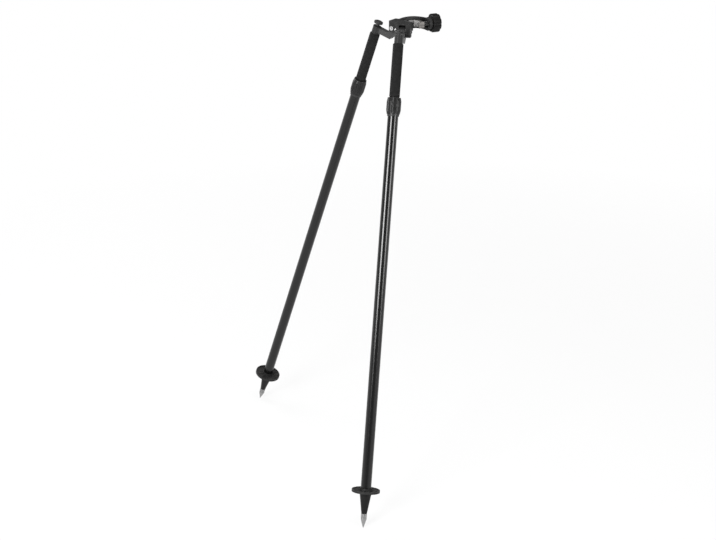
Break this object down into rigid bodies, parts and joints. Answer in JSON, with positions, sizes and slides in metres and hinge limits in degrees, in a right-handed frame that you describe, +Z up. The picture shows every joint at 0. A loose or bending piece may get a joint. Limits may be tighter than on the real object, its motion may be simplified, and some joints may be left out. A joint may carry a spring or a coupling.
{
  "type": "prism pole bipod",
  "caption": "Two-legged survey pole support: a screw clamp head with hinged telescopic legs, push-button releases, twist locks, step plates and steel points.",
  "frame": {"origin": "on the axis of the clamped pole, at the height of the clamp screw", "axes": "+Z up along the pole, +X from the pole to the knob, the legs on the -X side, left leg towards +Y"},
  "size_m": [0.379, 0.7626, 1.1421],
  "materials": {
    "black_paint": "satin black paint on a casting",
    "black_rubber": "matte rubber",
    "zinc": "bright zinc plate",
    "pale_nylon": "pale nylon",
    "bronze": "sintered bronze",
    "knob_plastic": "black moulded plastic",
    "dark_steel": "blackened steel",
    "bare_aluminium": "machined, uncoated",
    "satin_grey": "satin dark grey anodised",
    "satin_black": "satin black anodised",
    "grey_anodised": "dark grey anodised",
    "foam": "soft black foam",
    "black_nylon": "black nylon",
    "button_black": "black plastic",
    "gloss_black": "gloss black powder coat",
    "plate_black": "black moulded plastic",
    "foot_black": "black moulded plastic",
    "point_steel": "turned steel",
    "collar_black": "black moulded plastic, semi-matte"
  },
  "bodies": {
    "head": {"head_casting": "black_paint", "fixed_jaw_pad": "black_rubber", "jaw_pad_screws": "zinc", "back_pad": "pale_nylon", "hinge_screws": "zinc", "hinge_nuts": "dark_steel", "hinge_washers": "pale_nylon", "thrust_washer": "bronze"},
    "knob": {"clamp_knob": "knob_plastic", "knob_nut": "dark_steel", "retaining_ring": "dark_steel"},
    "jaw": {"moving_jaw": "bare_aluminium", "clamp_screw": "dark_steel", "jaw_pin": "dark_steel"},
    "left_upper_leg": {"left_bracket": "satin_grey", "left_hinge_bush": "bronze", "left_bracket_screw": "dark_steel", "left_leg_cap": "satin_black", "left_inner_tube": "grey_anodised", "left_foam_grip": "foam", "left_spring_seat": "dark_steel", "left_return_spring": "zinc", "left_brake_plug": "black_nylon", "left_brake_shoes": "black_rubber"},
    "left_release": {"left_push_button": "button_black", "left_push_rod": "bare_aluminium", "left_brake_cone": "bare_aluminium"},
    "left_lower_leg": {"left_outer_tube": "gloss_black", "left_guide_bush": "pale_nylon", "left_lock_ferrule": "grey_anodised", "left_lock_collet": "pale_nylon", "left_step_plate": "plate_black", "left_foot_cone": "foot_black", "left_steel_point": "point_steel"},
    "left_lock": {"left_lock_collar": "collar_black"},
    "right_upper_leg": {"right_bracket": "satin_grey", "right_hinge_bush": "bronze", "right_bracket_screw": "dark_steel", "right_leg_cap": "satin_black", "right_inner_tube": "grey_anodised", "right_foam_grip": "foam", "right_spring_seat": "dark_steel", "right_return_spring": "zinc", "right_brake_plug": "black_nylon", "right_brake_shoes": "black_rubber"},
    "right_release": {"right_push_button": "button_black", "right_push_rod": "bare_aluminium", "right_brake_cone": "bare_aluminium"},
    "right_lower_leg": {"right_outer_tube": "gloss_black", "right_guide_bush": "pale_nylon", "right_lock_ferrule": "grey_anodised", "right_lock_collet": "pale_nylon", "right_step_plate": "plate_black", "right_foot_cone": "foot_black", "right_steel_point": "point_steel"},
    "right_lock": {"right_lock_collar": "collar_black"}
  },
  "joints": [
    {"name": "knob_turn", "type": "hinge", "parent": "head", "child": "knob", "pos_m": [0.055, 0, 0], "axis": [1, 0, 0], "range_deg": [-360, 1260]},
    {"name": "jaw_slide", "type": "slide", "parent": "head", "child": "jaw", "axis": [1, 0, 0], "range_m": [-0.004, 0.014]},
    {"name": "left_leg_fold", "type": "hinge", "parent": "head", "child": "left_upper_leg", "pos_m": [-0.037, 0.022, -0.007], "axis": [0.809, 0.5878, 0], "range_deg": [-19, 26]},
    {"name": "left_leg_extend", "type": "slide", "parent": "left_upper_leg", "child": "left_lower_leg", "axis": [-0.1914, 0.2634, -0.9455], "range_m": [0, 0.64]},
    {"name": "left_lock_turn", "type": "hinge", "parent": "left_lower_leg", "child": "left_lock", "pos_m": [-0.09701, 0.1046, -0.16222], "axis": [0.1914, -0.2634, 0.9455], "range_deg": [0, 120]},
    {"name": "left_release_push", "type": "slide", "parent": "left_upper_leg", "child": "left_release", "axis": [-0.1914, 0.2634, -0.9455], "range_m": [0, 0.006], "stiffness_N_per_m": 900, "springref_m": -0.006, "deforming": ["left_return_spring"]},
    {"name": "right_leg_fold", "type": "hinge", "parent": "head", "child": "right_upper_leg", "pos_m": [-0.037, -0.022, -0.007], "axis": [-0.809, 0.5878, 0], "range_deg": [-19, 26]},
    {"name": "right_leg_extend", "type": "slide", "parent": "right_upper_leg", "child": "right_lower_leg", "axis": [-0.1914, -0.2634, -0.9455], "range_m": [0, 0.64]},
    {"name": "right_lock_turn", "type": "hinge", "parent": "right_lower_leg", "child": "right_lock", "pos_m": [-0.09701, -0.1046, -0.16222], "axis": [0.1914, 0.2634, 0.9455], "range_deg": [0, 120]},
    {"name": "right_release_push", "type": "slide", "parent": "right_upper_leg", "child": "right_release", "axis": [-0.1914, -0.2634, -0.9455], "range_m": [0, 0.006], "stiffness_N_per_m": 900, "springref_m": -0.006, "deforming": ["right_return_spring"]}
  ],
  "couplings": [
    {"joint": "knob_turn", "follows": "jaw_slide", "rad_per_m": 1570.7}
  ]
}
